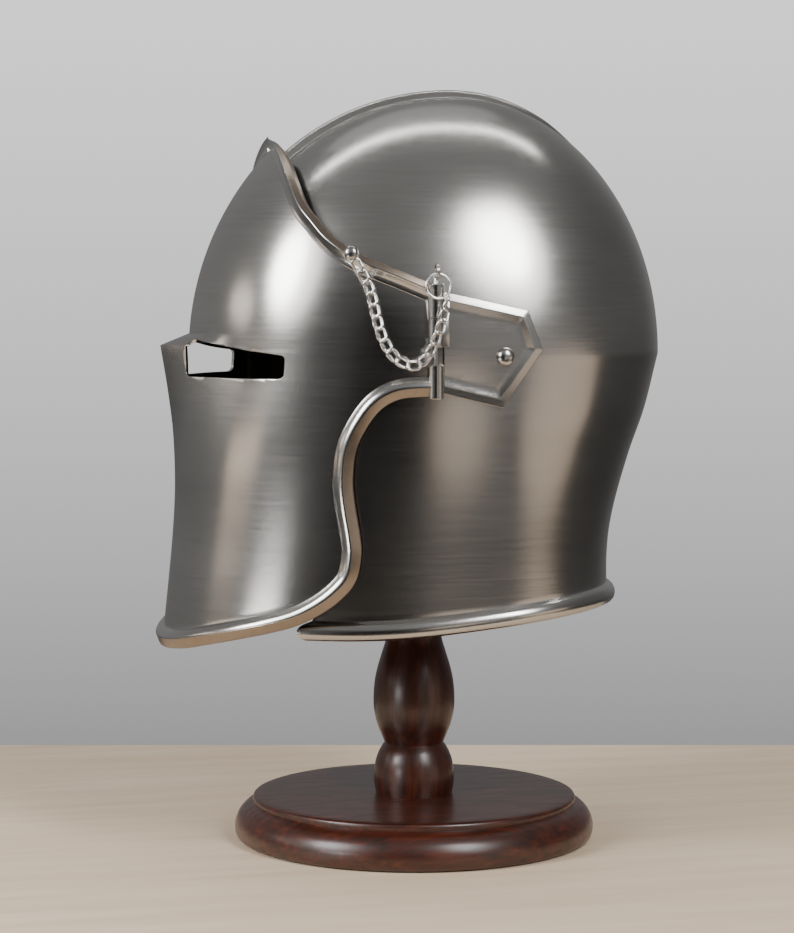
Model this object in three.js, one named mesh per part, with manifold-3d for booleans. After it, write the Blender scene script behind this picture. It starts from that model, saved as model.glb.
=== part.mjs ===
// Visored barbute on its turned wooden stand, in millimetres, +Z up.
// The origin is on the axis of the stand, at the underside of its base.
// -Y is the front of the face, +X is the wearer's left.
import * as THREE from 'three';
import { mergeVertices } from 'three/addons/utils/BufferGeometryUtils.js';
import Module from 'manifold-3d';

const wasm = await Module();
wasm.setup();

// The visor turns about a line along X through this point.
const PIVOT_Y = 21.5;
const PIVOT_Z = 269.5;

// Steel plate.
const WALL = 1.6;

// Skull: widths below the pivot level, then one dome above it.
const SKULL_POWER = 2.2;
const CROWN_HEIGHT = 140.3;
const RIM_Z = 121.5;
const RIM_RISE = { atBack: 13, fromY: -60, toY: 112, endsAtZ: 205 };
const SKULL_ROWS = [
  { z: 121.5, halfWidth: 94.5, back: 83.6, front: 146, bead: 2.8 },
  { z: 124.0, halfWidth: 94.7, back: 83.6, front: 146, bead: 4.4 },
  { z: 128.5, halfWidth: 95.0, back: 83.5, front: 146, bead: 3.8 },
  { z: 131.0, halfWidth: 95.2, back: 83.4, front: 146, bead: 0.6 },
  { z: 150.0, halfWidth: 96.4, back: 83.4, front: 146, bead: 0 },
  { z: 171.0, halfWidth: 98.0, back: 85.0, front: 145, bead: 0 },
  { z: 194.0, halfWidth: 99.8, back: 89.3, front: 144, bead: 0 },
  { z: 216.5, halfWidth: 101.4, back: 96.3, front: 142.5, bead: 0 },
  { z: 239.0, halfWidth: 102.5, back: 105.0, front: 141.2, bead: 0 },
  { z: 269.5, halfWidth: 103.0, back: 113.3, front: 140.3, bead: 0 },
];
const COMB_HEIGHT = 4.1;
const COMB_HALF_WIDTH = 6;
const COMB_STEPS = 18;
const FACE_HALF_WIDTH = 76;
const FACE_TOP_Z = 318;

// Visor: an upper plate that shares the pivot, and a lower plate with a prow.
const VISOR_POWER = 2.3;
const VISOR_HEIGHT = 154;
const PROW_HALF_WIDTH = 50;
const PROW_POWER = 1.8;
const VISOR_ROWS = [
  { z: 90.0, halfWidth: 99.0, front: 164.0, prow: 0 },
  { z: 112.0, halfWidth: 99.0, front: 161.0, prow: 0.5 },
  { z: 130.0, halfWidth: 99.4, front: 158.9, prow: 1.0 },
  { z: 150.0, halfWidth: 100.2, front: 156.5, prow: 1.5 },
  { z: 170.0, halfWidth: 101.4, front: 154.0, prow: 2.5 },
  { z: 190.0, halfWidth: 102.7, front: 152.0, prow: 3.5 },
  { z: 210.0, halfWidth: 104.0, front: 150.3, prow: 5.2 },
  { z: 230.0, halfWidth: 105.3, front: 148.2, prow: 8.3 },
  { z: 250.0, halfWidth: 106.4, front: 145.5, prow: 13.5 },
  { z: 265.0, halfWidth: 106.9, front: 143.4, prow: 18.0 },
  { z: 274.3, halfWidth: 107.0, front: 142.5, prow: 20.5 },
];
const SHELF_TOP_Z = 280.7;
const KEEL = 5;

// Side view of the visor's edges, as y and z.
const TOP_EDGE = [
  { y: -76.9, z: 383.8 }, { y: -78.0, z: 368.3 }, { y: -75.4, z: 349.1 }, { y: -70.2, z: 338.6 },
  { y: -64.3, z: 330.0 }, { y: -55.0, z: 322.2 }, { y: -44.6, z: 316.8 }, { y: -32.9, z: 311.9 },
  { y: -17.0, z: 305.0 },
];
const REAR_EDGE = [
  { y: -17.0, z: 251.0 }, { y: -24.0, z: 251.0 }, { y: -34.2, z: 249.7 }, { y: -43.0, z: 244.9 },
  { y: -50.2, z: 236.0 }, { y: -56.4, z: 222.6 }, { y: -58.1, z: 206.5 }, { y: -57.0, z: 193.3 },
  { y: -54.4, z: 177.8 }, { y: -53.6, z: 167.6 }, { y: -55.8, z: 155.3 }, { y: -61.6, z: 147.0 },
  { y: -71.0, z: 139.0 }, { y: -83.0, z: 132.2 }, { y: -96.6, z: 127.6 }, { y: -110.0, z: 123.8 },
  { y: -126.0, z: 118.8 },
];
const BOTTOM_FRONT_Z = 113;

// Border sections: out is past the plate's edge, up is off the plate's face.
const FLANGE_SECTION = [
  { out: -7.0, up: -0.5 }, { out: -2.4, up: 3.6 }, { out: 1.4, up: 4.8 }, { out: 1.6, up: -1.4 },
  { out: -7.0, up: -1.4 },
];
const BEAD_SECTION = [
  { out: -8.5, up: -0.5 }, { out: -3.0, up: 4.2 }, { out: 2.0, up: 2.4 }, { out: 1.4, up: -1.5 },
  { out: -8.5, up: -1.5 },
];

// Eye slits, seen from the front.
const SLIT_INNER_X = 16;
const SLIT_OUTER_X = 76;
const SLIT_BOTTOM_Z = 257.7;
const SLIT_TOP_INNER_Z = 278.0;
const SLIT_TOP_OUTER_Z = 270.0;
const SLIT_CORNER = 2.4;

// Hinge arms and their pins.
const ARM_OUTLINE = [
  { y: -10.6, z: 303.0 }, { y: 34.0, z: 293.4 }, { y: 42.0, z: 272.8 },
  { y: 20.5, z: 243.0 }, { y: -10.6, z: 250.6 },
];
const ARM_FACE_X = 103.9;
const ARM_DISH_RADIUS = 330;
const ARM_SECTION = [
  { reach: 0.74, up: 1.8 }, { reach: 0.80, up: 3.0 }, { reach: 0.93, up: 3.3 }, { reach: 1.0, up: 2.2 },
];
const PIN_Y = -15.5;
const PIN_X = 105.9;
const PIN_RADIUS = 1.2;
const KNUCKLE_RADIUS = 4.1;
const KNUCKLE_BORE = 1.65;
const VISOR_KNUCKLES = [{ low: 248.0, high: 265.6 }, { low: 289.6, high: 307.0 }];
const ARM_KNUCKLE = { low: 274.6, high: 289.2 };
const PIN_LOW_Z = 248.4;
const PIN_HIGH_Z = 310.4;
const EYE_RADIUS = 3.3;
const EYE_WIRE = 0.9;
const EYE_LEAN = 2.2;

// Ring, chain and the rivets.
const RING_RADIUS = 6.4;
const RING_WIRE = 0.7;
const RING_LEAN = 0.17;
const LINK_LENGTH = 8.45;
const LINK_WIDTH = 5.6;
const LINK_WIRE = 0.62;
const LINK_COUNT = 17;
const LOOP_RADIUS = 3.0;
const PIVOT_RIVET_RADIUS = 4.7;
const RIVET_SHANK = 2.3;
const RIVET_HOLE = 2.6;
const CHAIN_RIVET = { y: -54.4, z: 320.4, radius: 3.8, neck: 1.7, lift: 5.2 };
const CHAIN_ROUTE = [
  { x: 97.6, y: -48.9, z: 305.0 }, { x: 100.2, y: -46.2, z: 292.4 }, { x: 102.2, y: -43.5, z: 281.2 },
  { x: 104.2, y: -38.4, z: 271.2 }, { x: 106.0, y: -31.7, z: 266.2 }, { x: 108.2, y: -25.2, z: 266.0 },
  { x: 111.3, y: -20.0, z: 272.4 }, { x: 113.2, y: -16.0, z: 282.2 }, { x: 113.2, y: -12.9, z: 291.8 },
  { x: 112.2, y: -11.3, z: 297.0 },
];

// Stand.
const BASE_PROFILE = [
  { r: 0, z: 0 }, { r: 97.6, z: 0 }, { r: 99.8, z: 4 }, { r: 100.0, z: 9 }, { r: 97.6, z: 15.2 },
  { r: 91.2, z: 19.4 }, { r: 89.5, z: 20.4 }, { r: 89.5, z: 24 }, { r: 0, z: 24 },
];
const POST_PROFILE = [
  { r: 0, z: 24 }, { r: 21.4, z: 24 }, { r: 22.3, z: 33 }, { r: 20.9, z: 43.5 }, { r: 16.3, z: 52.6 },
  { r: 20.4, z: 62.5 }, { r: 22.6, z: 74 }, { r: 22.3, z: 85 }, { r: 20.2, z: 95 }, { r: 17.4, z: 104 },
  { r: 15, z: 114 }, { r: 15, z: 341 }, { r: 36, z: 378.8 }, { r: 37, z: 389.8 }, { r: 31, z: 396 },
  { r: 18, z: 401.8 }, { r: 0, z: 404.4 },
];

const STEEL = { color: 0x9a968f, roughness: 0.3, metalness: 1 };
const BRIGHT_STEEL = { color: 0xc9c7c2, roughness: 0.2, metalness: 1 };
const MAHOGANY = { color: 0x3d1d14, roughness: 0.35, metalness: 0 };

// Closed surface through rings of points, with a flat fan at each end.
function loft(rings) {
  const count = rings[0].length;
  const positions = rings.flat().flatMap((point) => [point.x, point.y, point.z]);
  const index = [];
  for (let row = 0; row + 1 < rings.length; row += 1) {
    for (let i = 0; i < count; i += 1) {
      const a = row * count + i;
      const b = row * count + (i + 1) % count;
      index.push(a, b, a + count, b, b + count, a + count);
    }
  }
  for (const [row, flip] of [[0, true], [rings.length - 1, false]]) {
    const centre = new THREE.Vector3();
    rings[row].forEach((point) => centre.addScaledVector(point, 1 / count));
    const hub = positions.length / 3;
    positions.push(centre.x, centre.y, centre.z);
    for (let i = 0; i < count; i += 1) {
      const a = row * count + i;
      const b = row * count + (i + 1) % count;
      index.push(hub, flip ? b : a, flip ? a : b);
    }
  }
  const geometry = new THREE.BufferGeometry();
  geometry.setAttribute('position', new THREE.Float32BufferAttribute(positions, 3));
  geometry.setIndex(index);
  return geometry;
}

// Six times the volume inside a closed surface.
function enclosed(geometry) {
  const p = geometry.attributes.position;
  const index = geometry.index.array;
  const a = new THREE.Vector3();
  const b = new THREE.Vector3();
  const c = new THREE.Vector3();
  let sum = 0;
  for (let i = 0; i < index.length; i += 3) {
    a.fromBufferAttribute(p, index[i]);
    b.fromBufferAttribute(p, index[i + 1]);
    c.fromBufferAttribute(p, index[i + 2]);
    sum += a.dot(b.cross(c));
  }
  return sum;
}

function solid(geometry) {
  const bare = geometry.clone();
  bare.deleteAttribute('normal');
  bare.deleteAttribute('uv');
  const merged = mergeVertices(bare, 1e-4);
  const triangles = Array.from(merged.index.array);
  if (enclosed(merged) < 0) {
    triangles.reverse();
  }
  return new wasm.Manifold(new wasm.Mesh({
    numProp: 3,
    vertProperties: new Float32Array(merged.attributes.position.array),
    triVerts: new Uint32Array(triangles),
  }));
}

function surfaceOf(body) {
  const mesh = body.getMesh();
  const geometry = new THREE.BufferGeometry();
  geometry.setAttribute('position', new THREE.BufferAttribute(mesh.vertProperties, 3));
  geometry.setIndex(new THREE.BufferAttribute(mesh.triVerts, 1));
  return geometry;
}

function mirrored(geometry) {
  const copy = geometry.clone().scale(-1, 1, 1);
  const flipped = Array.from(copy.index.array).reverse();
  copy.setIndex(flipped);
  return copy;
}

// Value of a column at z, by a smooth cubic through the rows on either side.
function column(rows, name, z) {
  const last = rows.length - 1;
  const clamped = THREE.MathUtils.clamp(z, rows[0].z, rows[last].z);
  let i = 0;
  while (i < last - 1 && clamped > rows[i + 1].z) {
    i += 1;
  }
  const slope = (k) => {
    const low = rows[Math.max(k - 1, 0)];
    const high = rows[Math.min(k + 1, last)];
    return (high[name] - low[name]) / (high.z - low.z);
  };
  const step = rows[i + 1].z - rows[i].z;
  const t = (clamped - rows[i].z) / step;
  const rise = rows[i + 1][name] - rows[i][name];
  const bendA = slope(i) * step - rise;
  const bendB = rise - slope(i + 1) * step;
  return rows[i][name] + t * rise + t * (1 - t) * (bendA * (1 - t) + bendB * t);
}

function domeShare(z, height) {
  return Math.sqrt(Math.max(0, 1 - ((z - PIVOT_Z) / height) ** 2));
}

const powered = (value, power) => Math.sign(value) * Math.abs(value) ** power;

// One level of the skull, as an oval with unlike front and back.
function skullRing(z, sides, grow) {
  const share = z > PIVOT_Z ? domeShare(z, CROWN_HEIGHT + Math.min(grow, 0)) : 1;
  const level = Math.min(z, PIVOT_Z);
  const halfWidth = (column(SKULL_ROWS, 'halfWidth', level) + grow) * share;
  const back = (column(SKULL_ROWS, 'back', level) + grow) * share;
  const front = (column(SKULL_ROWS, 'front', level) + grow) * share;
  const ring = [];
  const lowness = THREE.MathUtils.smoothstep(RIM_RISE.endsAtZ - z, 0, RIM_RISE.endsAtZ - SKULL_ROWS[3].z);
  for (let i = 0; i < sides; i += 1) {
    const angle = (i / sides) * Math.PI * 2;
    const across = powered(Math.cos(angle), 2 / SKULL_POWER);
    const along = powered(Math.sin(angle), 2 / SKULL_POWER);
    const y = PIVOT_Y + along * (along > 0 ? back : front);
    const rise = RIM_RISE.atBack * lowness * THREE.MathUtils.smoothstep(y, RIM_RISE.fromY, RIM_RISE.toY);
    ring.push(new THREE.Vector3(halfWidth * across, y, z + rise));
  }
  return ring;
}

function domeLevels(height, steps) {
  const levels = [];
  for (let i = 1; i <= steps; i += 1) {
    levels.push(PIVOT_Z + height * Math.sin((i / (steps + 0.5)) * Math.PI / 2));
  }
  return levels;
}

// Visor face at a level: how far forward of the pivot it stands at a given x.
function visorReach(x, z, inset) {
  const height = VISOR_HEIGHT - inset;
  const share = z > PIVOT_Z ? domeShare(z, height) : 1;
  const level = Math.min(z, 274.3);
  const halfWidth = (column(VISOR_ROWS, 'halfWidth', level) - inset) * share;
  const front = (column(VISOR_ROWS, 'front', level) - inset) * share;
  let prow = column(VISOR_ROWS, 'prow', level);
  if (z > 274.3) {
    const climb = THREE.MathUtils.clamp((z - 274.3) / (SHELF_TOP_Z - 274.3), 0, 1);
    prow = THREE.MathUtils.lerp(prow, KEEL * share, climb);
  }
  const across = Math.min(Math.abs(x) / Math.max(halfWidth, 1e-6), 1);
  const oval = (1 - across ** VISOR_POWER) ** (1 / VISOR_POWER);
  const bump = Math.max(0, 1 - Math.abs(x) / PROW_HALF_WIDTH) ** PROW_POWER;
  return front * oval + prow * bump * share;
}

function visorHalfWidth(z, inset) {
  const share = z > PIVOT_Z ? domeShare(z, VISOR_HEIGHT - inset) : 1;
  return (column(VISOR_ROWS, 'halfWidth', Math.min(z, 274.3)) - inset) * share;
}

// The x of the visor's face where it passes over a point of the side view.
function visorX(y, z) {
  let low = 0;
  let high = visorHalfWidth(z, 0);
  if (visorReach(0, z, 0) <= PIVOT_Y - y) {
    return 0;
  }
  for (let i = 0; i < 40; i += 1) {
    const middle = (low + high) / 2;
    if (visorReach(middle, z, 0) > PIVOT_Y - y) {
      low = middle;
    } else {
      high = middle;
    }
  }
  return low;
}

function visorNormal(y, z) {
  const step = 0.4;
  const x = visorX(y, z);
  const dy = (visorX(y + step, z) - visorX(y - step, z)) / (2 * step);
  const dz = (visorX(y, z + step) - visorX(y, z - step)) / (2 * step);
  return x < 3 ? null : new THREE.Vector3(1, -dy, -dz).normalize();
}

function visorRing(z, halfSteps, inset, rearY) {
  const ring = [];
  const halfWidth = visorHalfWidth(z, inset);
  for (let i = -halfSteps; i <= halfSteps; i += 1) {
    const across = Math.sin((i / halfSteps) * Math.PI / 2);
    const x = halfWidth * powered(across, 2 / VISOR_POWER);
    ring.push(new THREE.Vector3(x, PIVOT_Y - visorReach(x, z, inset), z));
  }
  ring.push(new THREE.Vector3(halfWidth, rearY, z), new THREE.Vector3(-halfWidth, rearY, z));
  return ring;
}

function sideCurve(rows) {
  return new THREE.SplineCurve(rows.map((row) => new THREE.Vector2(row.y, row.z)));
}

// Border swept along an edge of the visor, for the wearer's left half.
function border(sidePoints, section, middleNormal, sense) {
  const points = sidePoints.map((p) => new THREE.Vector3(visorX(p.x, p.y), p.x, p.y));
  const rings = points.map((point, i) => {
    const before = points[Math.max(i - 1, 0)];
    const after = points[Math.min(i + 1, points.length - 1)];
    const along = after.clone().sub(before).normalize();
    const normal = visorNormal(point.y, point.z) ?? middleNormal.clone();
    if (point.x < 1) {
      along.set(sense, 0, 0);
    }
    const out = new THREE.Vector3().crossVectors(normal, along).normalize();
    normal.crossVectors(along, out).normalize();
    return section.map((s) => point.clone().addScaledVector(out, s.out).addScaledVector(normal, s.up));
  });
  return rings;
}

function prism(outline, depth) {
  const shape = new THREE.Shape(outline.map((p) => new THREE.Vector2(p[0], p[1])));
  return new THREE.ExtrudeGeometry(shape, { depth, bevelEnabled: false, curveSegments: 6 });
}

// A prism whose outline is given as y and z, running along X.
function prismAlongX(outline, low, high) {
  const turn = new THREE.Matrix4().set(0, 0, 1, low, 1, 0, 0, 0, 0, 1, 0, 0, 0, 0, 0, 1);
  return prism(outline, high - low).applyMatrix4(turn);
}

// A prism whose outline is given as x and z, running along Y.
function prismAlongY(outline, low, high) {
  const turn = new THREE.Matrix4().set(1, 0, 0, 0, 0, 0, -1, high, 0, 1, 0, 0, 0, 0, 0, 1);
  return prism(outline, high - low).applyMatrix4(turn);
}

function rod(radius, low, high, sides) {
  const geometry = new THREE.CylinderGeometry(radius, radius, high - low, sides);
  return geometry.rotateX(Math.PI / 2).translate(0, 0, (low + high) / 2);
}

function turned(profile, sides) {
  const points = profile.map((p) => new THREE.Vector2(p.r, p.z));
  return new THREE.LatheGeometry(points, sides).rotateX(Math.PI / 2);
}

function roundedOutline(corners, radius) {
  const outline = [];
  corners.forEach((corner, i) => {
    const here = new THREE.Vector2(...corner);
    const before = new THREE.Vector2(...corners.at(i - 1));
    const after = new THREE.Vector2(...corners[(i + 1) % corners.length]);
    const start = before.sub(here).setLength(radius).add(here);
    const end = after.sub(here).setLength(radius).add(here);
    const middle = start.clone().add(end).multiplyScalar(0.25).addScaledVector(here, 0.5);
    outline.push([start.x, start.y], [middle.x, middle.y], [end.x, end.y]);
  });
  return outline;
}

// Skull: one raised shell with its comb and rolled rim, open below and at the face.
function makeSkull() {
  const outerLevels = [...SKULL_ROWS.map((row) => row.z), ...domeLevels(CROWN_HEIGHT, 7)];
  const outer = outerLevels.map((z) => skullRing(z, 32, column(SKULL_ROWS, 'bead', Math.min(z, PIVOT_Z))));
  const innerLevels = [RIM_Z - 5, 171, 216.5, PIVOT_Z, ...domeLevels(CROWN_HEIGHT - WALL, 7)];
  const inner = innerLevels.map((z) => skullRing(z, 32, -WALL));
  let body = solid(loft(outer)).subtract(solid(loft(inner)));
  const arch = new THREE.EllipseCurve(0, 262, FACE_HALF_WIDTH, FACE_TOP_Z - 262, 0, Math.PI);
  const face = [[FACE_HALF_WIDTH, RIM_Z - 20], ...arch.getPoints(16).map((p) => [p.x, p.y]),
    [-FACE_HALF_WIDTH, RIM_Z - 20]];
  body = body.subtract(solid(prismAlongY(face, -220, -30)));
  const comb = [];
  const domeRow = SKULL_ROWS.at(-1);
  for (let i = 0; i <= COMB_STEPS; i += 1) {
    const angle = THREE.MathUtils.lerp(0.62, 2.75, i / COMB_STEPS);
    const reach = Math.cos(angle) > 0 ? domeRow.front : domeRow.back;
    const y = PIVOT_Y - reach * Math.cos(angle);
    const z = PIVOT_Z + CROWN_HEIGHT * Math.sin(angle);
    const normal = new THREE.Vector3(0, -Math.cos(angle) / reach, Math.sin(angle) / CROWN_HEIGHT).normalize();
    const fade = Math.min(1, i / 2, (COMB_STEPS - i) / 6);
    const rise = -0.9 + (COMB_HEIGHT + 0.9) * fade;
    const shoulder = -0.6 + (rise + 0.6) * 0.85;
    const ridge = [[-COMB_HALF_WIDTH, -1.5], [COMB_HALF_WIDTH, -1.5], [3, shoulder], [0, rise], [-3, shoulder]];
    comb.push(ridge.map(([x, up]) => new THREE.Vector3(x, y, z).addScaledVector(normal, up)));
  }
  body = body.add(solid(loft(comb)));
  const bore = rod(RIVET_HOLE, -130, 130, 12).rotateY(Math.PI / 2).translate(0, PIVOT_Y, PIVOT_Z);
  return surfaceOf(body.subtract(solid(bore)));
}

// Visor: both plates in one shell, with its borders, slits and hinge knuckles.
function makeVisor() {
  const levels = [96, 124, 152, 180, 208, 236, 256, 274.3, SHELF_TOP_Z, 300, 320, 340, 360, 378, 394];
  const outer = levels.map((z) => visorRing(z, 10, 0, PIVOT_Y + 8));
  const innerLevels = [90, 152, 208, 236, 256, 274.3 - 0.6, SHELF_TOP_Z - 2, 300, 320, 340, 360, 378, 394];
  const inner = innerLevels.map((z) => visorRing(z, 10, WALL, PIVOT_Y + 30));
  let body = solid(loft(outer)).subtract(solid(loft(inner)));
  const topPoints = sideCurve(TOP_EDGE).getPoints(11);
  const bottomFront = { y: PIVOT_Y - visorReach(0, BOTTOM_FRONT_Z, 0), z: BOTTOM_FRONT_Z };
  const rearPoints = sideCurve([...REAR_EDGE, bottomFront]).getPoints(22);
  const [lowKnuckle, highKnuckle] = VISOR_KNUCKLES;
  const outline = [[-77, 400], ...topPoints.map((p) => [p.x, p.y]), [PIN_Y - 1.5, highKnuckle.low],
    [PIN_Y - 4.8, highKnuckle.low - 0.1], [PIN_Y - 4.8, lowKnuckle.high + 0.4], [PIN_Y - 1.5, lowKnuckle.high + 0.3],
    ...rearPoints.map((p) => [p.x, p.y]), [-200, 94], [-200, 400]];
  body = body.intersect(solid(prismAlongX(outline, -140, 140)));
  const peakNormal = new THREE.Vector3(0, -0.65, 0.76);
  const flange = loft(border(topPoints, FLANGE_SECTION, peakNormal, 1));
  const bead = loft(border(rearPoints, BEAD_SECTION, new THREE.Vector3(0, -1, -0.2), -1));
  for (const piece of [flange, bead]) {
    body = body.add(solid(piece)).add(solid(mirrored(piece)));
  }
  const slit = roundedOutline([[SLIT_INNER_X, SLIT_BOTTOM_Z], [SLIT_OUTER_X, SLIT_BOTTOM_Z],
    [SLIT_OUTER_X, SLIT_TOP_OUTER_Z], [SLIT_INNER_X, SLIT_TOP_INNER_Z]], SLIT_CORNER);
  const slitCut = prismAlongY(slit, -200, -60);
  body = body.subtract(solid(slitCut)).subtract(solid(mirrored(mergeVertices(slitCut))));
  for (const side of [1, -1]) {
    for (const knuckle of VISOR_KNUCKLES) {
      const tube = rod(KNUCKLE_RADIUS, knuckle.low, knuckle.high, 10).translate(side * PIN_X, PIN_Y, 0);
      body = body.add(solid(tube));
    }
    const bore = rod(KNUCKLE_BORE, 230, 320, 6).translate(side * PIN_X, PIN_Y, 0);
    body = body.subtract(solid(bore));
  }
  return surfaceOf(body);
}

// Hinge arm: a dished pentagonal plate with a raised border and one knuckle.
function makeArm() {
  const outline = [];
  ARM_OUTLINE.forEach((corner, i) => {
    const next = ARM_OUTLINE[(i + 1) % ARM_OUTLINE.length];
    for (let k = 0; k < 3; k += 1) {
      outline.push({ y: THREE.MathUtils.lerp(corner.y, next.y, k / 3),
        z: THREE.MathUtils.lerp(corner.z, next.z, k / 3) });
    }
  });
  const hub = { y: 14, z: 271 };
  const place = (p, reach, up) => {
    const y = hub.y + (p.y - hub.y) * reach;
    const z = hub.z + (p.z - hub.z) * reach;
    const away = (y - PIVOT_Y) ** 2 + (z - PIVOT_Z) ** 2;
    return new THREE.Vector3(ARM_FACE_X + up - away / (2 * ARM_DISH_RADIUS), y, z);
  };
  const rows = [{ reach: 0.4, up: 0 }, { reach: 1, up: 0 }, ...ARM_SECTION.toReversed(), { reach: 0.4, up: 1.8 }];
  let body = solid(loft(rows.map((row) => outline.map((p) => place(p, row.reach, row.up)))));
  const tab = new THREE.BoxGeometry(3, 7, ARM_KNUCKLE.high - ARM_KNUCKLE.low)
    .translate(PIN_X - 1, PIN_Y + 3.6, (ARM_KNUCKLE.low + ARM_KNUCKLE.high) / 2);
  body = body.add(solid(tab)).add(solid(rod(KNUCKLE_RADIUS, ARM_KNUCKLE.low, ARM_KNUCKLE.high, 10)
    .translate(PIN_X, PIN_Y, 0)));
  body = body.subtract(solid(rod(KNUCKLE_BORE, 230, 320, 6).translate(PIN_X, PIN_Y, 0)));
  const bore = rod(RIVET_HOLE, 60, 130, 12).rotateY(Math.PI / 2).translate(0, PIVOT_Y, PIVOT_Z);
  return surfaceOf(body.subtract(solid(bore)));
}

// Hinge pin: a straight wire with a bent eye at the top.
function makePin() {
  const wire = rod(PIN_RADIUS, PIN_LOW_Z, PIN_HIGH_Z, 6).translate(PIN_X, PIN_Y, 0);
  const eye = new THREE.TorusGeometry(EYE_RADIUS, EYE_WIRE, 5, 12).rotateX(Math.PI / 2)
    .translate(PIN_X + EYE_LEAN, PIN_Y, PIN_HIGH_Z + EYE_RADIUS - 0.6);
  return surfaceOf(solid(wire).add(solid(eye)));
}

// Ring that hangs in the eye of the pin and leans out over the hinge.
function makeRing() {
  const top = new THREE.Vector3(PIN_X + EYE_LEAN + 1.0, PIN_Y, PIN_HIGH_Z + EYE_RADIUS - 1.6);
  const lean = new THREE.Vector3(Math.sin(RING_LEAN), 0, -Math.cos(RING_LEAN));
  const centre = top.addScaledVector(lean, RING_RADIUS);
  return new THREE.TorusGeometry(RING_RADIUS, RING_WIRE, 5, 16).rotateY(Math.PI / 2).rotateY(-RING_LEAN)
    .translate(centre.x, centre.y, centre.z);
}

class LinkCurve extends THREE.Curve {
  constructor(centre, along, side) {
    super();
    Object.assign(this, { centre, along, side });
  }

  getPoint(t) {
    const angle = t * Math.PI * 2;
    const a = powered(Math.cos(angle), 0.8) * (LINK_LENGTH / 2 - LINK_WIRE);
    const b = powered(Math.sin(angle), 0.9) * (LINK_WIDTH / 2 - LINK_WIRE);
    return this.centre.clone().addScaledVector(this.along, a).addScaledVector(this.side, b);
  }
}

// Where the chain's wire loop goes round the neck of its rivet.
function rivetFrame() {
  const normal = visorNormal(CHAIN_RIVET.y, CHAIN_RIVET.z);
  const foot = new THREE.Vector3(visorX(CHAIN_RIVET.y, CHAIN_RIVET.z), CHAIN_RIVET.y, CHAIN_RIVET.z)
    .addScaledVector(normal, CHAIN_RIVET.lift);
  const turn = new THREE.Quaternion().setFromUnitVectors(new THREE.Vector3(0, 0, 1), normal);
  return { normal, foot, turn };
}

// Chain from the loop on its rivet down over the plate and up to the ring.
function makeChain() {
  const { normal, foot, turn } = rivetFrame();
  const loopCentre = foot.clone().addScaledVector(normal, 1.5);
  let body = solid(new THREE.TorusGeometry(LOOP_RADIUS, LINK_WIRE, 5, 10).applyQuaternion(turn)
    .translate(loopCentre.x, loopCentre.y, loopCentre.z));
  const rows = CHAIN_ROUTE.map((p) => new THREE.Vector3(p.x, p.y, p.z));
  const away = rows[0].clone().sub(loopCentre).projectOnPlane(normal).normalize();
  rows.unshift(loopCentre.clone().addScaledVector(away, LOOP_RADIUS + LINK_LENGTH / 2 - LINK_WIRE));
  const route = new THREE.CatmullRomCurve3(rows);
  route.arcLengthDivisions = 400;
  for (let i = 0; i < LINK_COUNT; i += 1) {
    const t = i / (LINK_COUNT - 1);
    const along = route.getTangentAt(t);
    const flat = new THREE.Vector3(1, 0, 0).cross(along).normalize();
    const off = along.clone().cross(flat).normalize();
    let lean = (i % 2 ? -1 : 1) * Math.PI / 4;
    if (i === LINK_COUNT - 1) {
      lean = Math.PI / 2;
    }
    const side = flat.multiplyScalar(Math.cos(lean)).addScaledVector(off, Math.sin(lean));
    const link = new THREE.TubeGeometry(new LinkCurve(route.getPointAt(t), along, side), 10, LINK_WIRE, 5, true);
    body = body.add(solid(link));
  }
  return surfaceOf(body);
}

// Chain rivet: a round head on a thin neck.
function makeChainRivet() {
  const { radius, neck } = CHAIN_RIVET;
  const { foot, turn } = rivetFrame();
  const profile = [{ r: 0, z: 0 }, { r: neck, z: 0 }, { r: neck, z: 2.6 }, { r: radius, z: 3.6 },
    { r: radius * 0.9, z: 5.4 }, { r: radius * 0.55, z: 6.7 }, { r: 0, z: 7.1 }];
  return turned(profile, 10).applyQuaternion(turn).translate(foot.x, foot.y, foot.z);
}

// Pivot rivet: a domed head on the arm and a shank through arm and skull.
function makePivotRivet() {
  const face = ARM_FACE_X + 1.8 + 0.3;
  const profile = [{ r: 0, z: 99.5 }, { r: RIVET_SHANK, z: 99.5 }, { r: RIVET_SHANK, z: face },
    { r: PIVOT_RIVET_RADIUS, z: face }, { r: PIVOT_RIVET_RADIUS * 0.92, z: face + 1.5 },
    { r: PIVOT_RIVET_RADIUS * 0.66, z: face + 2.7 }, { r: 0, z: face + 3.3 }];
  return turned(profile, 10).rotateY(Math.PI / 2).translate(0, PIVOT_Y, PIVOT_Z);
}

const helmet = new THREE.Group();

function addPiece(name, geometry, look) {
  const mesh = new THREE.Mesh(geometry, new THREE.MeshStandardMaterial(look));
  mesh.name = name;
  helmet.add(mesh);
}

function addPair(name, geometry, look) {
  const bare = geometry.clone();
  bare.deleteAttribute('normal');
  bare.deleteAttribute('uv');
  const merged = mergeVertices(bare, 1e-4);
  addPiece(`${name}_left`, merged, look);
  addPiece(`${name}_right`, mirrored(merged), look);
}

addPiece('stand_base', turned(BASE_PROFILE, 30), MAHOGANY);
addPiece('stand_post', turned(POST_PROFILE, 18), MAHOGANY);
addPiece('skull', makeSkull(), STEEL);
addPiece('visor', makeVisor(), STEEL);
addPair('visor_arm', makeArm(), STEEL);
addPair('pivot_rivet', makePivotRivet(), STEEL);
addPair('hinge_pin', makePin(), STEEL);
addPair('pin_ring', makeRing(), BRIGHT_STEEL);
addPair('pin_chain', makeChain(), BRIGHT_STEEL);
addPair('chain_rivet', makeChainRivet(), STEEL);

export default helmet;
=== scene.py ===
# Visored barbute on its turned wooden stand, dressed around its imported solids.
# Lengths are millimetres up to the mesh, which is in metres; -Y is the front, +X the wearer's left.
import math

import bmesh
import bpy
from mathutils import Matrix, Vector


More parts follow.
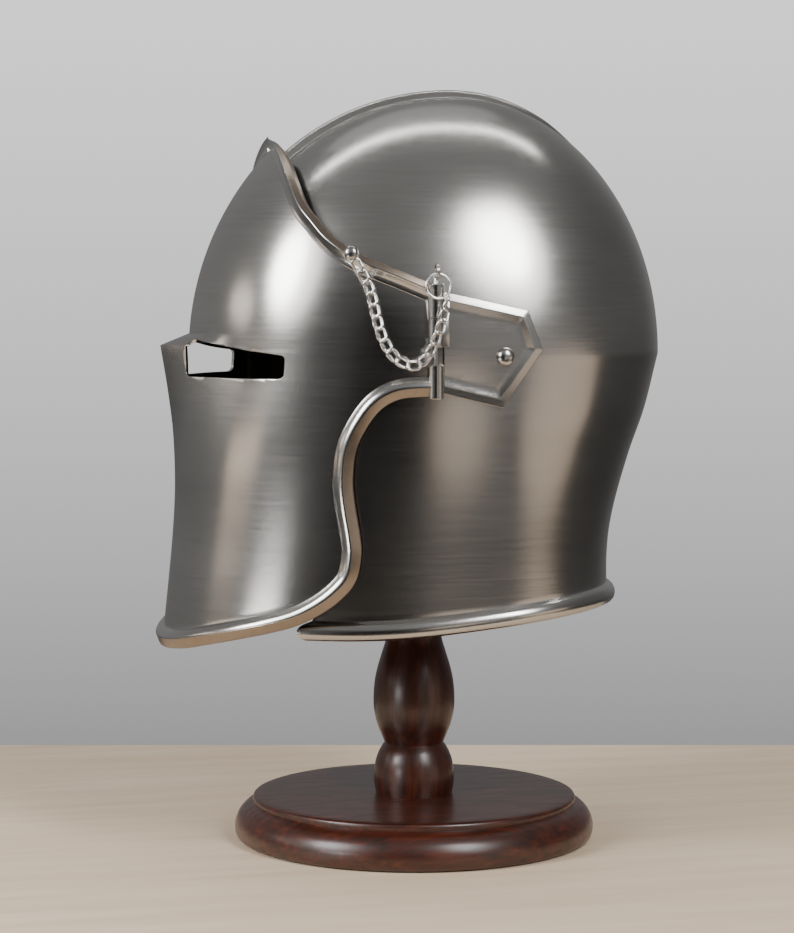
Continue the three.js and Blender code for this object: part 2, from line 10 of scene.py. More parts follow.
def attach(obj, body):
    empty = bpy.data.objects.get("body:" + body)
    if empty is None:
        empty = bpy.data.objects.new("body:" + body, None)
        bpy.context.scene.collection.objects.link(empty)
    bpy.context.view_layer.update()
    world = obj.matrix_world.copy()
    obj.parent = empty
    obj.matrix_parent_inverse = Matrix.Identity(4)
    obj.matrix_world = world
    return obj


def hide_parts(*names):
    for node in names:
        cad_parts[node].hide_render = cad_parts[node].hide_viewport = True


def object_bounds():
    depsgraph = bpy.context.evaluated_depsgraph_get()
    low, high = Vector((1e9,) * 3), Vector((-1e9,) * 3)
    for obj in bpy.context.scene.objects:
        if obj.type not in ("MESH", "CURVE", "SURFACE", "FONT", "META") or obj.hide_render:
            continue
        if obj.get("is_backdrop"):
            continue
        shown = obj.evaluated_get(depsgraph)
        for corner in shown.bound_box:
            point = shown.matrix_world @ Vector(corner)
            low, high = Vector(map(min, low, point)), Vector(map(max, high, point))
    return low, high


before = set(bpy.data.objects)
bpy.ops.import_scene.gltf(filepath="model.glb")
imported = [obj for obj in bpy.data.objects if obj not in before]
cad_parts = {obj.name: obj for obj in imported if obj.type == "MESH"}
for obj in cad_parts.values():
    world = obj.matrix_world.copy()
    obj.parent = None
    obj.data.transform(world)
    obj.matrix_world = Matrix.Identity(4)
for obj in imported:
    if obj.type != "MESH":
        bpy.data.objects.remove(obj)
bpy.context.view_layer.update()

# Stand base: a disc of mahogany turned on a lathe, with a round moulding under a flat top plate.
# It is stained dark red-brown and lacquered to a satin gloss, and stands on the table by its own weight.
BASE_RUNS = [
    [(0, 0), (95.5, 0)],
    [(95.5, 0), (98.6, 1.4), (99.9, 5.2), (99.6, 9.6), (97.6, 14.2), (94.2, 17.8), (90.9, 19.6)],
    [(90.9, 19.6), (89.7, 20.3)],
    [(89.7, 20.3), (89.9, 22.2), (89.3, 23.5), (88.2, 24)],
    [(88.2, 24), (60, 24), (30, 24), (0, 24)],
]
MAHOGANY_DARK = (0.020, 0.0058, 0.0033, 1)
MAHOGANY_RED = (0.088, 0.0180, 0.0076, 1)


def smooth_run(points, steps):
    """Points of a smooth line through the given ones."""
    vectors = [Vector(p) for p in points]
    if len(vectors) == 2:
        return vectors
    ends = [2 * vectors[0] - vectors[1]] + vectors + [2 * vectors[-1] - vectors[-2]]
    line = []
    for i in range(1, len(ends) - 2):
        before, start, stop, after = ends[i - 1:i + 3]
        for k in range(steps):
            t = k / steps
            bend = (stop - before) * t + (2 * before - 5 * start + 4 * stop - after) * t * t
            line.append(start + 0.5 * (bend + (3 * start - before - 3 * stop + after) * t ** 3))
    return line + [vectors[-1]]


def turned(runs, steps=5, around=128):
    """Solid of revolution about Z from the smooth runs of a section."""
    bm = bmesh.new()
    last = None
    for run in runs:
        for r, z in smooth_run(run, steps):
            if last and (last.co - Vector((r, 0, z)) / 1000).length < 1e-6:
                continue
            vert = bm.verts.new((r / 1000, 0, z / 1000))
            if last:
                bm.edges.new((last, vert))
            last = vert
    bmesh.ops.spin(bm, geom=bm.verts[:] + bm.edges[:], cent=(0, 0, 0), axis=(0, 0, 1),
                   angle=math.tau, steps=around, use_merge=True)
    tidy_surface(bm)
    return bm


def tidy_surface(bm):
    """Closes seams and poles and turns the faces outwards."""
    bmesh.ops.remove_doubles(bm, verts=bm.verts, dist=2e-6)
    bmesh.ops.dissolve_degenerate(bm, edges=bm.edges, dist=1e-7)
    bmesh.ops.recalc_face_normals(bm, faces=bm.faces)


def set_piece(bm, name, finish, body, finish_slot, *nodes, crease=30):
    """Makes the mesh an object that rides on its body in place of its solids."""
    for face in bm.faces:
        face.smooth = True
    for edge in bm.edges:
        if len(edge.link_faces) == 2 and edge.calc_face_angle(0) > math.radians(crease):
            edge.smooth = False
    mesh = bpy.data.meshes.new(name)
    bm.to_mesh(mesh)
    bm.free()
    mesh.materials.append(finish)
    piece = bpy.data.objects.new(name, mesh)
    bpy.context.scene.collection.objects.link(piece)
    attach(piece, body)
    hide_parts(*nodes)
    return piece


def new_finish(name):
    """An empty material with its shader, and short ways to add and join nodes."""
    finish = bpy.data.materials.new(name)
    finish.use_nodes = True
    tree = finish.node_tree
    shader = tree.nodes["Principled BSDF"]

    def add(kind, **settings):
        node = tree.nodes.new(kind)
        for key, value in settings.items():
            if key in node.inputs:
                node.inputs[key].default_value = value
            else:
                setattr(node, key, value)
        return node

    return finish, shader, add, tree.links.new


def stretched_noise(add, join, stretch, **settings):
    """Noise over Object coordinates, stretched by its scale along each axis."""
    place = add("ShaderNodeTexCoord")
    mapping = add("ShaderNodeMapping", Scale=stretch)
    noise = add("ShaderNodeTexNoise", **settings)
    join(place.outputs["Object"], mapping.inputs["Vector"])
    join(mapping.outputs["Vector"], noise.inputs["Vector"])
    return noise


def colour_ramp(add, join, source, stops):
    """Colours by the value of a texture."""
    ramp = add("ShaderNodeValToRGB")
    for i, (at, colour) in enumerate(stops):
        stop = ramp.color_ramp.elements[i] if i < 2 else ramp.color_ramp.elements.new(at)
        stop.position = at
        stop.color = colour
    join(source, ramp.inputs["Fac"])
    return ramp


def scaled_value(add, join, source, low, high):
    """A texture's value brought into a range."""
    span = add("ShaderNodeMapRange", **{"To Min": low, "To Max": high})
    join(source, span.inputs["Value"])
    return span.outputs["Result"]


def mahogany(name, stretch):
    """Lacquered mahogany with its grain drawn out along one axis."""
    finish, shader, add, join = new_finish(name)
    grain = stretched_noise(add, join, stretch, Scale=1.0, Detail=7.0, Roughness=0.62, Distortion=0.5)
    colour = colour_ramp(add, join, grain.outputs["Fac"],
                         [(0.34, MAHOGANY_DARK), (0.70, MAHOGANY_RED), (0.5, (0.044, 0.0102, 0.0050, 1))])
    join(colour.outputs["Color"], shader.inputs["Base Color"])
    join(scaled_value(add, join, grain.outputs["Fac"], 0.42, 0.28), shader.inputs["Roughness"])
    bump = add("ShaderNodeBump", Strength=0.10, Distance=0.0004)
    join(grain.outputs["Fac"], bump.inputs["Height"])
    join(bump.outputs["Normal"], shader.inputs["Normal"])
    shader.inputs["Coat Weight"].default_value = 0.35
    shader.inputs["Coat Roughness"].default_value = 0.22
    return finish


base_wood = mahogany("mahogany_disc", (260, 40, 260))
set_piece(turned(BASE_RUNS), "base_disc", base_wood, "helmet_and_stand", "mahogany", "stand_base")

# Stand post: a baluster turned from one length of mahogany, a ball foot, a neck and a slim vase shape.
# It is screwed to the base from below and carries the helmet on a broad head inside the crown.
POST_RUNS = [
    [(0, 24), (21.2, 24)],
    [(21.2, 24), (22.2, 29), (22.4, 35), (21.4, 42), (19.2, 48), (16.5, 52.4)],
    [(16.5, 52.4), (18.3, 57), (20.6, 63), (22.3, 71), (22.6, 78), (21.9, 87), (20.2, 95), (17.6, 103.6),
     (15.7, 110), (15, 116), (15, 130)],
    [(15, 130), (15, 341)],
    [(15, 341), (20, 356), (36, 378.8), (37.2, 386), (36, 391.4), (31, 396), (18, 401.8), (0, 404.3)],
]
post_wood = mahogany("mahogany_post", (300, 300, 28))
set_piece(turned(POST_RUNS, around=96), "baluster", post_wood, "helmet_and_stand", "mahogany", "stand_post")

# Skull: raised from one steel sheet, closed at the crown and open below and at the face.
# A low comb is drawn up along the middle, the lower edge is rolled outwards, and the face is satin brushed.
PIVOT_Y = 21.5
PIVOT_Z = 269.5
WALL = 1.6
SKULL_POWER = 2.2
CROWN_HEIGHT = 140.3
SKULL_LEVELS = {
    "z": (121.5, 124, 128.5, 131, 150, 171, 194, 216.5, 239, 269.5),
    "half_width": (94.5, 94.7, 95, 95.2, 96.4, 98, 99.8, 101.4, 102.5, 103),
    "back": (83.6, 83.6, 83.5, 83.4, 83.4, 85, 89.3, 96.3, 105, 113.3),
    "front": (146, 146, 146, 146, 146, 145, 144, 142.5, 141.2, 140.3),
}
RIM_RISE = 13
RIM_ROLL = [(132.6, 0), (131.9, 0.15), (131.3, 0.9), (130.4, 2.3), (129, 3.6), (127.2, 4.4), (125.2, 4.6),
            (123.4, 4.2), (122.1, 3.2), (121.5, 1.8), (121.6, 0.6)]
COMB_SECTION = [(0, 4.1), (0.9, 4.05), (1.9, 3.8), (2.7, 3.35), (3.3, 2.8), (4.2, 1.55), (5.0, 0.45), (5.4, 0.06), (6, 0)]
COMB_START = 0.62
COMB_END = 2.75
FACE_HALF_WIDTH = 76
FACE_TOP_Z = 318
STEEL_LIGHT = (0.60, 0.585, 0.56, 1)
STEEL_DEEP = (0.47, 0.455, 0.435, 1)


def level_value(levels, column, z):
    """A column's value at a height, by a smooth cubic through its levels."""
    heights = levels["z"]
    values = levels[column]
    last = len(heights) - 1
    z = min(max(z, heights[0]), heights[last])
    i = 0
    while i < last - 1 and z > heights[i + 1]:
        i += 1

    def slope(k):
        low, high = max(k - 1, 0), min(k + 1, last)
        return (values[high] - values[low]) / (heights[high] - heights[low])

    step = heights[i + 1] - heights[i]
    rise = values[i + 1] - values[i]
    t = (z - heights[i]) / step
    bend = (slope(i) * step - rise) * (1 - t) + (rise - slope(i + 1) * step) * t
    return values[i] + t * rise + t * (1 - t) * bend


def ease(value, low, high):
    """Smooth step from 0 to 1."""
    t = min(max((value - low) / (high - low), 0), 1)
    return t * t * (3 - 2 * t)


def skirt_point(share, z, grow, side):
    """Point of the skull below the pivot level; share is the place across, side is 1 at the back."""
    half_width = level_value(SKULL_LEVELS, "half_width", z) + grow
    reach = level_value(SKULL_LEVELS, "back" if side > 0 else "front", z) + grow
    along = max(0, 1 - abs(share) ** SKULL_POWER) ** (1 / SKULL_POWER)
    y = PIVOT_Y + side * reach * along
    low = ease(205 - z, 0, 205 - 131)
    return Vector((half_width * share, y, z + RIM_RISE * low * ease(y, -60, 112))) / 1000


def comb_height(x, angle):
    """How far the comb stands off the crown at a distance from the middle."""
    x = abs(x)
    if x >= COMB_SECTION[-1][0]:
        return 0
    step = (angle - COMB_START) / (COMB_END - COMB_START) * 18
    fade = max(0, min(1, step / 2, (18 - step) / 6))
    for (x0, h0), (x1, h1) in zip(COMB_SECTION, COMB_SECTION[1:]):
        if x <= x1:
            return fade * (h0 + (h1 - h0) * (x - x0) / (x1 - x0))
    return 0


def crown_point(share, angle):
    """Point of the crown: share is the place across, angle runs from the front over the top to the back."""
    reach = 140.3 if angle < math.pi / 2 else 113.3
    cos, sin = abs(math.cos(angle)), math.sin(angle)
    low, high = 0.0, 1.0
    for _ in range(40):
        size = (low + high) / 2
        full = (abs(share) ** SKULL_POWER + (size * cos) ** SKULL_POWER) ** (2 / SKULL_POWER) + (size * sin) ** 2
        low, high = (size, high) if full < 1 else (low, size)
    x = 103 * share
    y = -reach * low * math.cos(angle)
    z = CROWN_HEIGHT * low * sin
    normal = Vector((0, y / reach ** 2, z / CROWN_HEIGHT ** 2))
    point = Vector((x, PIVOT_Y + y, PIVOT_Z + z))
    if normal.length > 1e-9:
        point += normal.normalized() * comb_height(x, angle)
    return point / 1000


def mapped_grid(columns, rows, place):
    """A grid whose points are placed by column and row number."""
    bm = bmesh.new()
    bmesh.ops.create_grid(bm, x_segments=columns, y_segments=rows, size=0.5)
    for vert in bm.verts:
        vert.co = place(round((vert.co.x + 0.5) * columns), round((vert.co.y + 0.5) * rows))
    return bm


def add_mesh(bm, other):
    """Adds one bmesh to another."""
    mesh = bpy.data.meshes.new("part")
    other.to_mesh(mesh)
    other.free()
    bm.from_mesh(mesh)
    bpy.data.meshes.remove(mesh)


def skull_shares():
    """Places across the skull, with a line on each fold of the comb."""
    half = [x / 103 for x, _ in COMB_SECTION]
    steps = 46
    start = math.asin(half[-1] ** (SKULL_POWER / 2))
    for i in range(1, steps + 1):
        half.append(math.sin(start + (math.pi / 2 - start) * i / steps) ** (2 / SKULL_POWER))
    return [-s for s in half[:0:-1]] + half


def cut_away(piece, cutter):
    """Cuts the shape of one object out of another and drops the cutter."""
    cut = piece.modifiers.new("cut", "BOOLEAN")
    cut.object = cutter
    cut.operation = "DIFFERENCE"
    cut.solver = "EXACT"
    shown = piece.evaluated_get(bpy.context.evaluated_depsgraph_get())
    mesh = bpy.data.meshes.new_from_object(shown)
    piece.modifiers.clear()
    piece.data = mesh
    bpy.data.objects.remove(cutter)


def brushed_steel(name, roughness, streak, stretch, grain=0.0, light=STEEL_LIGHT, deep=STEEL_DEEP):
    """Satin steel with fine brush lines that run round the helmet and soft clouds of warmer tone."""
    finish, shader, add, join = new_finish(name)
    lines = stretched_noise(add, join, stretch, Scale=1.0, Detail=4.0, Roughness=0.6)
    clouds = stretched_noise(add, join, (9, 9, 13), Scale=1.0, Detail=3.0, Roughness=0.5)
    tone = add("ShaderNodeMix", data_type="FLOAT", Factor=0.24)
    join(clouds.outputs["Fac"], tone.inputs["A"])
    join(lines.outputs["Fac"], tone.inputs["B"])
    colour = colour_ramp(add, join, tone.outputs["Result"], [(0.33, deep), (0.66, light)])
    join(colour.outputs["Color"], shader.inputs["Base Color"])
    join(scaled_value(add, join, lines.outputs["Fac"], roughness - 0.04, roughness + 0.05),
         shader.inputs["Roughness"])
    bump = add("ShaderNodeBump", Strength=streak, Distance=0.00012)
    join(lines.outputs["Fac"], bump.inputs["Height"])
    join(bump.outputs["Normal"], shader.inputs["Normal"])
    shader.inputs["Metallic"].default_value = 1.0
    if grain:
        shader.inputs["Anisotropic"].default_value = grain
        shader.inputs["Anisotropic Rotation"].default_value = 0.25
        tangent = add("ShaderNodeTangent", direction_type="RADIAL", axis="Z")
        join(tangent.outputs["Tangent"], shader.inputs["Tangent"])
    return finish


def dark_inside(name):
    """The unpolished inner face of the plate, left dark from the forge."""
    finish, shader, add, join = new_finish(name)
    scale = stretched_noise(add, join, (60, 60, 60), Scale=1.0, Detail=5.0, Roughness=0.6)
    colour = colour_ramp(add, join, scale.outputs["Fac"], [(0.3, (0.012, 0.011, 0.010, 1)), (0.75, (0.045, 0.040, 0.036, 1))])
    join(colour.outputs["Color"], shader.inputs["Base Color"])
    join(scaled_value(add, join, scale.outputs["Fac"], 0.62, 0.45), shader.inputs["Roughness"])
    shader.inputs["Metallic"].default_value = 0.6
    return finish


plate_steel = brushed_steel("brushed_plate", 0.21, 0.09, (26, 26, 1200), 0.15)
forge_dark = dark_inside("forge_dark")
shares = skull_shares()
across = len(shares) - 1
CROWN_STEPS = 150
skirt_rows = [(PIVOT_Z - (PIVOT_Z - 132.6) * i / 56, 0) for i in range(56)] + RIM_ROLL

skull = mapped_grid(across, CROWN_STEPS, lambda i, j: crown_point(shares[i], math.pi * j / CROWN_STEPS))
for side in (-1, 1):
    add_mesh(skull, mapped_grid(across, len(skirt_rows) - 1,
                                lambda i, j: skirt_point(shares[i], *skirt_rows[j], side)))
tidy_surface(skull)
bmesh.ops.solidify(skull, geom=skull.faces[:], thickness=WALL / 1000)
skull.faces.ensure_lookup_table()
for face in skull.faces:
    middle = face.calc_center_median() * 1000
    from_axis = Vector((middle.x, (middle.y - PIVOT_Y) * 0.8, max(middle.z - PIVOT_Z, 0)))
    face.material_index = 1 if face.normal.dot(from_axis) < 0 and middle.z > 133 else 0
skull_piece = set_piece(skull, "skull_shell", plate_steel, "helmet_and_stand", "brushed_plate", "skull")
skull_piece.data.materials.append(forge_dark)

arch = bmesh.new()
outline = [(-FACE_HALF_WIDTH, 100)]
for i in range(49):
    turn = math.pi * (1 - i / 48)
    outline.append((FACE_HALF_WIDTH * math.cos(turn), 262 + (FACE_TOP_Z - 262) * math.sin(turn)))
outline.append((FACE_HALF_WIDTH, 100))
arch.faces.new([arch.verts.new((x / 1000, -0.22, z / 1000)) for x, z in outline])
pulled = bmesh.ops.extrude_face_region(arch, geom=arch.faces[:])
bmesh.ops.translate(arch, vec=(0, 0.19, 0), verts=[v for v in pulled["geom"] if isinstance(v, bmesh.types.BMVert)])
bmesh.ops.recalc_face_normals(arch, faces=arch.faces)
arch_mesh = bpy.data.meshes.new("face_arch")
arch.to_mesh(arch_mesh)
arch.free()
arch_cutter = bpy.data.objects.new("face_arch", arch_mesh)
bpy.context.scene.collection.objects.link(arch_cutter)
cut_away(skull_piece, arch_cutter)

# Visor: an upper and a lower steel plate in one, hammered to a sharp prow under the eye slits.
# Its upper edge is flanged outwards, its rear and lower edges are rolled, and hinge tubes are brazed on its sides.
VISOR_POWER = 2.3
VISOR_HEIGHT = 154
PROW_HALF_WIDTH = 50
PROW_POWER = 1.8
KEEL = 5
SHELF_Z = 274.3
SHELF_TOP_Z = 280.7
VISOR_LEVELS = {
    "z": (90, 112, 130, 150, 170, 190, 210, 230, 250, 265, 274.3),
    "half_width": (99, 99, 99.4, 100.2, 101.4, 102.7, 104, 105.3, 106.4, 106.9, 107),
    "front": (164, 161, 158.9, 156.5, 154, 152, 150.3, 148.2, 145.5, 143.4, 142.5),
    "prow": (0, 0.5, 1, 1.5, 2.5, 3.5, 5.2, 8.3, 13.5, 18, 20.5),
}
TOP_EDGE = [(-76.9, 383.8), (-78, 368.3), (-75.4, 349.1), (-70.2, 338.6), (-64.3, 330), (-55, 322.2),
            (-44.6, 316.8), (-32.9, 311.9), (-17, 305)]
REAR_EDGE = [(-17, 251), (-24, 251), (-34.2, 249.7), (-43, 244.9), (-50.2, 236), (-56.4, 222.6), (-58.1, 206.5),
             (-57, 193.3), (-54.4, 177.8), (-53.6, 167.6), (-55.8, 155.3), (-61.6, 147), (-71, 139),
             (-83, 132.2), (-96.6, 127.6), (-110, 123.8), (-126, 118.8)]
BOTTOM_FRONT_Z = 113
# Border sections from the plate outwards: how far past the edge, how far off the plate's face.
FLANGE_ROWS = [(-7.4, 0), (-7.15, 0.3), (-6.4, 0.55), (-5.6, 0.95), (-4.8, 1.5), (-4, 2.3), (-3.3, 3.2),
               (-2.7, 4), (-2.35, 4.42), (-2.1, 4.5), (-1.8, 4.45), (1.2, 3.3), (1.5, 2.9)]
BEAD_ROWS = [(-8.6, 0), (-8.3, 0.05), (-8, 0.5), (-7.2, 1.75), (-6.2, 2.85), (-5, 3.7), (-4, 4.1), (-3.2, 4.25),
             (-2.9, 4.2), (-2.6, 4.05), (1.3, 2.2), (1.7, 1.9), (1.9, 1.4)]
TIP_RIDGE = -2.1
BORDER_UNDER = -1.5
SLIT_INNER_X = 16
SLIT_OUTER_X = 76
SLIT_BOTTOM_Z = 257.7
SLIT_TOP_INNER_Z = 278
SLIT_TOP_OUTER_Z = 270


def dome_share(z):
    """How much of its size the visor keeps above the pivot level."""
    return math.sqrt(max(0, 1 - ((z - PIVOT_Z) / VISOR_HEIGHT) ** 2)) if z > PIVOT_Z else 1


def visor_half_width(z):
    return level_value(VISOR_LEVELS, "half_width", z) * dome_share(z)


def visor_reach(x, z):
    """How far the visor stands ahead of the pivot at a place across and a height."""
    share = dome_share(z)
    front = level_value(VISOR_LEVELS, "front", z) * share
    prow = level_value(VISOR_LEVELS, "prow", z)
    if z > SHELF_Z:
        climb = min((z - SHELF_Z) / (SHELF_TOP_Z - SHELF_Z), 1)
        prow += (KEEL * share - prow) * climb
    reach = min(abs(x) / max(visor_half_width(z), 1e-6), 1)
    oval = (1 - reach ** VISOR_POWER) ** (1 / VISOR_POWER)
    bump = max(0, 1 - abs(x) / PROW_HALF_WIDTH) ** PROW_POWER
    return front * oval + prow * bump * share


def visor_point(x, z):
    return Vector((x, PIVOT_Y - visor_reach(x, z), z))


def visor_x(y, z):
    """Place across where the visor passes over a point of the side view."""
    low, high = 0.0, visor_half_width(z)
    if visor_reach(0, z) <= PIVOT_Y - y:
        return 0.0
    for _ in range(44):
        middle = (low + high) / 2
        low, high = (middle, high) if visor_reach(middle, z) > PIVOT_Y - y else (low, middle)
    return low


def depth_in_visor(point):
    return visor_reach(point.x, point.z) - (PIVOT_Y - point.y)


def visor_normal(point):
    """Outward direction of the visor's face near a point of it."""
    d = 0.25
    grad = Vector((depth_in_visor(point + Vector((d, 0, 0))) - depth_in_visor(point - Vector((d, 0, 0))),
                   depth_in_visor(point + Vector((0, d, 0))) - depth_in_visor(point - Vector((0, d, 0))),
                   depth_in_visor(point + Vector((0, 0, d))) - depth_in_visor(point - Vector((0, 0, d)))))
    return -grad.normalized()


def seat_on_visor(point, normal):
    """Moves a point along a direction until it lies on the visor's face."""
    low, high = -6.0, 6.0
    for _ in range(36):
        middle = (low + high) / 2
        low, high = (middle, high) if depth_in_visor(point + normal * middle) > 0 else (low, middle)
    return point + normal * low


def even_points(line, count):
    """Points at even distances along a line of points."""
    lengths = [0.0]
    for a, b in zip(line, line[1:]):
        lengths.append(lengths[-1] + (b - a).length)
    points = []
    i = 0
    for k in range(count + 1):
        goal = lengths[-1] * k / count
        while i < len(line) - 2 and lengths[i + 1] < goal:
            i += 1
        t = (goal - lengths[i]) / max(lengths[i + 1] - lengths[i], 1e-9)
        points.append(line[i].lerp(line[i + 1], min(max(t, 0), 1)))
    return points


def edge_frames(side_points, count, middle_normal, sense):
    """Points along an edge of the visor with their outward and upward directions."""
    line = [Vector((visor_x(y, z), y, z)) for y, z in smooth_run(side_points, 24)]
    line[0 if sense > 0 else -1].x = 0
    points = even_points(line, count)
    frames = []
    for i, point in enumerate(points):
        along = (points[min(i + 1, count)] - points[max(i - 1, 0)]).normalized()
        normal = visor_normal(point) if point.x > 3 else None
        if point.x < 0.5:
            along = Vector((sense, 0, 0))
        if normal is None:
            blend = point.x / 3
            normal = (middle_normal * (1 - blend) + visor_normal(Vector((3, point.y, point.z))) * blend).normalized()
            normal = normal if point.x > 0.5 else middle_normal
        out = normal.cross(along).normalized()
        if point.z > 330 and out.x * 10 > point.x:
            out = Vector((point.x / 10, out.y, out.z)).normalized()
        frames.append((point, out, (normal - out * normal.dot(out)).normalized()))
    return frames


def border_place(frame_here, out, up):
    """A point of a border's section, measured from the plate's own face."""
    point, outward, normal = frame_here
    near_tip = max(0, 1 - point.x / 40) if point.z > 330 else 0
    up *= 1 + 0.35 * near_tip
    if out > TIP_RIDGE:
        out = TIP_RIDGE + (out - TIP_RIDGE) * (1 - near_tip)
    flat = point + outward * out
    seated = seat_on_visor(flat, normal) if out < 0 and point.x > 0.5 else flat
    place = seated + normal * up
    return Vector((max(place.x, 0), place.y, place.z))


def flat_place(point):
    """A point of the face as its angle across and its height, spread to like lengths."""
    share = min(abs(point.x) / visor_half_width(point.z), 1)
    return Vector((math.asin(share ** (VISOR_POWER / 2)) * 110, point.z))


def unflat_place(flat):
    z = flat.y
    return Vector((visor_half_width(z) * math.sin(flat.x / 110) ** (2 / VISOR_POWER), z))


VISOR_ACROSS = 110
VISOR_DOWN = 120
bottom_front = (PIVOT_Y - visor_reach(0, BOTTOM_FRONT_Z), BOTTOM_FRONT_Z)
top_frames = edge_frames(TOP_EDGE, VISOR_ACROSS, Vector((0, -0.65, 0.76)), 1)
chin_normal = visor_normal(Vector((3, *bottom_front)))
chin_normal.x = 0
rear_frames = edge_frames(REAR_EDGE + [bottom_front], VISOR_ACROSS, chin_normal.normalized(), -1)[::-1]
top_line = [flat_place(border_place(f, *FLANGE_ROWS[0])) for f in top_frames]
rear_line = [flat_place(border_place(f, *BEAD_ROWS[0])) for f in rear_frames]
top_line[0].x = rear_line[0].x = 0
hinge_line = [rear_line[-1].lerp(top_line[-1], j / VISOR_DOWN) for j in range(VISOR_DOWN + 1)]


def plate_flat(i, j):
    """Place in the flat plate, from its four edges."""
    u, v = i / VISOR_ACROSS, j / VISOR_DOWN
    middle = rear_line[0].lerp(top_line[0], v)
    ruled = rear_line[i].lerp(top_line[i], v) + middle.lerp(hinge_line[j], u)
    corners = rear_line[0].lerp(rear_line[-1], u).lerp(top_line[0].lerp(top_line[-1], u), v)
    return unflat_place(ruled - corners)


rear_rows = len(BEAD_ROWS) - 1
top_rows = len(FLANGE_ROWS) - 1
visor = bmesh.new()
bmesh.ops.create_grid(visor, x_segments=VISOR_ACROSS, y_segments=VISOR_DOWN + rear_rows + top_rows, size=0.5)
is_border = visor.verts.layers.int.new("border")
outer_place = visor.verts.layers.float_vector.new("outer")
inner_place = visor.verts.layers.float_vector.new("inner")
for vert in visor.verts:
    i = round((vert.co.x + 0.5) * VISOR_ACROSS)
    j = round((vert.co.y + 0.5) * (VISOR_DOWN + rear_rows + top_rows)) - rear_rows
    row, edge, section = (-j, rear_frames, BEAD_ROWS) if j < 0 else (j - VISOR_DOWN, top_frames, FLANGE_ROWS)
    if row > 0:
        out, up = section[row]
        ridge_row = max(range(len(section)), key=lambda r: section[r][1])
        vert[is_border] = 2 if row > ridge_row else 1
        vert[outer_place] = border_place(edge[i], out, up)
        vert[inner_place] = border_place(edge[i], out, BORDER_UNDER)
        flat = vert[outer_place]
        vert.co = (flat.x, 0, flat.z)
    else:
        flat = plate_flat(i, j)
        vert.co = (flat.x, 0, flat.y)


def plate_faces(test):
    """Faces of the flat plate, with their edges and points, whose middles pass a test."""
    faces = [f for f in visor.faces if not any(v[is_border] for v in f.verts) and test(f.calc_center_median())]
    edges = {e for f in faces for e in f.edges}
    verts = {v for f in faces for v in f.verts}
    return list(faces) + list(edges) + list(verts)


def near_shelf(middle):
    return middle.x < PROW_HALF_WIDTH + 2 and SHELF_Z - 12 < middle.z < SHELF_TOP_Z + 12


def near_slit(middle):
    return SLIT_INNER_X - 6 < middle.x < SLIT_OUTER_X + 6 and SLIT_BOTTOM_Z - 6 < middle.z < SLIT_TOP_INNER_Z + 6


SLIT_CORNER = 2.6
slit_corners = [Vector((SLIT_INNER_X, 0, SLIT_BOTTOM_Z)), Vector((SLIT_OUTER_X, 0, SLIT_BOTTOM_Z)),
                Vector((SLIT_OUTER_X, 0, SLIT_TOP_OUTER_Z)), Vector((SLIT_INNER_X, 0, SLIT_TOP_INNER_Z))]
slit_sides = []
for k, corner in enumerate(slit_corners):
    along = (slit_corners[(k + 1) % 4] - corner).normalized()
    before = (corner - slit_corners[k - 1]).normalized()
    inward = Vector((-along.z, 0, along.x))
    inward_before = Vector((-before.z, 0, before.x))
    middle = corner + (inward + inward_before) * SLIT_CORNER / (1 + inward.dot(inward_before))
    slit_sides.append((corner, inward))
    for t in (0.25, 0.5, 0.75):
        turn = inward_before.lerp(inward, t).normalized()
        slit_sides.append((middle - turn * SLIT_CORNER, turn))
for z in (SHELF_Z, SHELF_TOP_Z):
    bmesh.ops.bisect_plane(visor, geom=plate_faces(near_shelf), dist=0.02, plane_co=(0, 0, z), plane_no=(0, 0, 1))
for corner, inward in slit_sides:
    bmesh.ops.bisect_plane(visor, geom=plate_faces(near_slit), dist=0.02, plane_co=corner, plane_no=inward)


def inside_slit(face):
    middle = face.calc_center_median()
    flat = Vector((middle.x, 0, middle.z))
    return near_slit(middle) and all((flat - c).dot(n) > 0 for c, n in slit_sides)


slit_faces = [f for f in visor.faces if inside_slit(f)]
bmesh.ops.delete(visor, geom=slit_faces, context="FACES")
for vert in visor.verts:
    if vert[is_border]:
        vert.co = vert[outer_place] / 1000
        vert[inner_place] = vert[inner_place] / 1000
        continue
    x, z = max(vert.co.x, 0), vert.co.z
    point = visor_point(x, z)
    normal = visor_normal(point if x > 0.3 else Vector((0.3, point.y, z)))
    inside = point - normal * WALL
    if x < 0.3:
        inside = point + Vector((0, WALL * 1.15, 0))
    vert.co = point / 1000
    vert[inner_place] = inside / 1000
# Painted shade: faces past each border's ridge take the darker, browner return steel in place of the shade they
# reflect.
for face in visor.faces:
    face.material_index = 2 if all(v[is_border] == 2 for v in face.verts) else 0
walls = bmesh.ops.extrude_face_region(visor, geom=visor.faces[:])
for part in walls["geom"]:
    if isinstance(part, bmesh.types.BMVert):
        part.co = part[inner_place]
    elif isinstance(part, bmesh.types.BMFace):
        part.material_index = 1
medial = [f for f in visor.faces if all(abs(v.co.x) < 1e-5 for v in f.verts)]
bmesh.ops.delete(visor, geom=medial, context="FACES_ONLY")
bmesh.ops.mirror(visor, geom=visor.verts[:] + visor.edges[:] + visor.faces[:], merge_dist=1e-5, axis="X")
bmesh.ops.dissolve_degenerate(visor, dist=2e-5, edges=visor.edges[:])
tidy_surface(visor)
slit_lips = []
for edge in visor.edges:
    if len(edge.link_faces) == 2 and edge.calc_face_angle(0) > 1.0:
        at = (edge.verts[0].co + edge.verts[1].co) * 500
        if near_slit(Vector((abs(at.x), 0, at.z))) and any(f.material_index == 0 for f in edge.link_faces):
            if abs(at.x) > SLIT_INNER_X - 0.5 and depth_in_visor(at) < 0.4:
                slit_lips.append(edge)
bmesh.ops.bevel(visor, geom=slit_lips, offset=0.00045, offset_type="OFFSET", segments=2, profile=0.5,
                affect="EDGES", material=-1, clamp_overlap=True)

